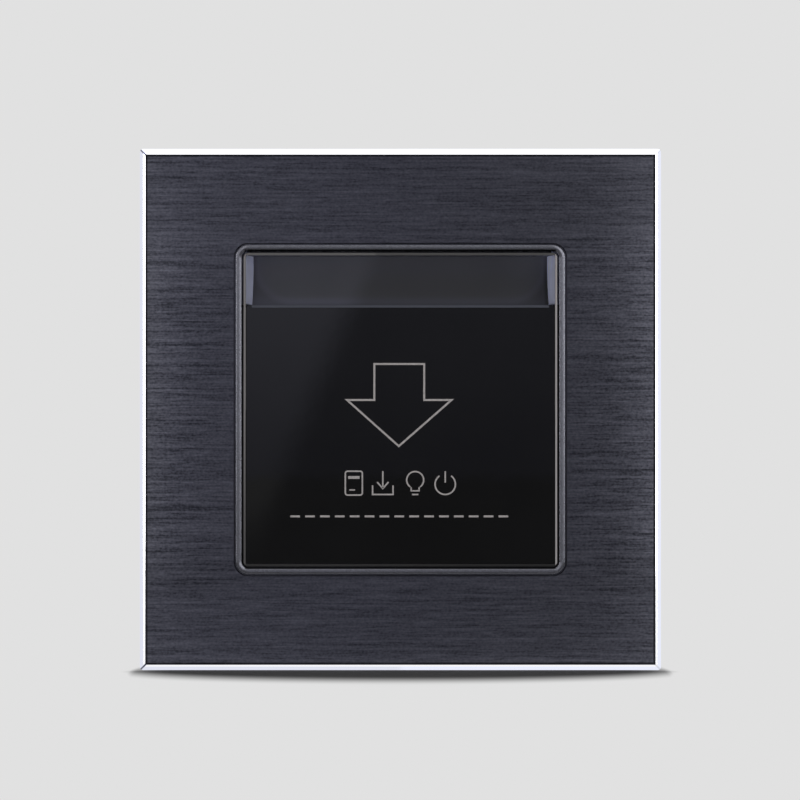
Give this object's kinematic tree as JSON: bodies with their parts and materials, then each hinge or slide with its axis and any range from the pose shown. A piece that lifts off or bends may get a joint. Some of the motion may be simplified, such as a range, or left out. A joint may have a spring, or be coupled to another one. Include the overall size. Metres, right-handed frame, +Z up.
{
  "type": "hotel key card switch",
  "caption": "Square flush wall switch with a brushed dark metal plate and a card pocket behind a glossy panel; a pushed-in key card tips a lever that works the switch.",
  "frame": {"origin": "centre of the two wall screw slots, on the wall plane at the yoke's rear face", "axes": "+X to the right, +Y into the wall, +Z up, so the front faces -Y"},
  "size_m": [0.092, 0.0455, 0.092],
  "materials": {
    "anodised_aluminium": "black anodised with a horizontal brushed grain and a bright cut edge",
    "carrier_plastic": "fine moulded black",
    "ring_plastic": "satin dark grey",
    "panel_acrylic": "polished black",
    "pocket_plastic": "glossy black moulding",
    "lever_plastic": "natural moulded plastic",
    "red_plastic": "moulded red",
    "steel": "zinc plated",
    "housing_plastic": "off-white moulded",
    "board_laminate": "green solder resist",
    "dark_component": "moulded black",
    "blue_plastic": "moulded blue",
    "yellow_plastic": "moulded yellow",
    "capacitor_sleeve": "shrunk sleeve",
    "resistor_coat": "lacquer",
    "brass": "turned and milled"
  },
  "bodies": {
    "base": {"face_plate": "anodised_aluminium", "plate_carrier": "carrier_plastic", "trim_ring": "ring_plastic", "front_panel": "panel_acrylic", "card_pocket": "pocket_plastic", "lever_pin": "steel", "lever_spring": "steel", "micro_switch": "dark_component", "mounting_yoke": "steel", "base_box": "housing_plastic", "inner_cover": "housing_plastic", "yoke_screws": "steel", "circuit_board": "board_laminate", "board_screws": "steel", "relay": "blue_plastic", "film_capacitor": "yellow_plastic", "smoothing_capacitor": "capacitor_sleeve", "varistor": "blue_plastic", "bridge_rectifier": "dark_component", "control_chip": "dark_component", "resistors": "resistor_coat", "terminal_posts": "brass", "terminal_screws": "steel"},
    "lever": {"card_lever": "lever_plastic"},
    "plunger": {"switch_plunger": "red_plastic"}
  },
  "joints": [
    {"name": "lever_tilt", "type": "hinge", "parent": "base", "child": "lever", "pos_m": [0, 0.0015, -0.005], "axis": [1, 0, 0], "range_deg": [0, 11], "stiffness_Nm_per_rad": 0.01, "springref_deg": -11.46, "deforming": ["lever_spring"]},
    {"name": "plunger_slide", "type": "slide", "parent": "base", "child": "plunger", "axis": [0, 1, 0], "range_m": [0, 0.0011]}
  ],
  "couplings": [
    {"joint": "plunger_slide", "follows": "lever_tilt", "m_per_rad": 0.0055}
  ]
}
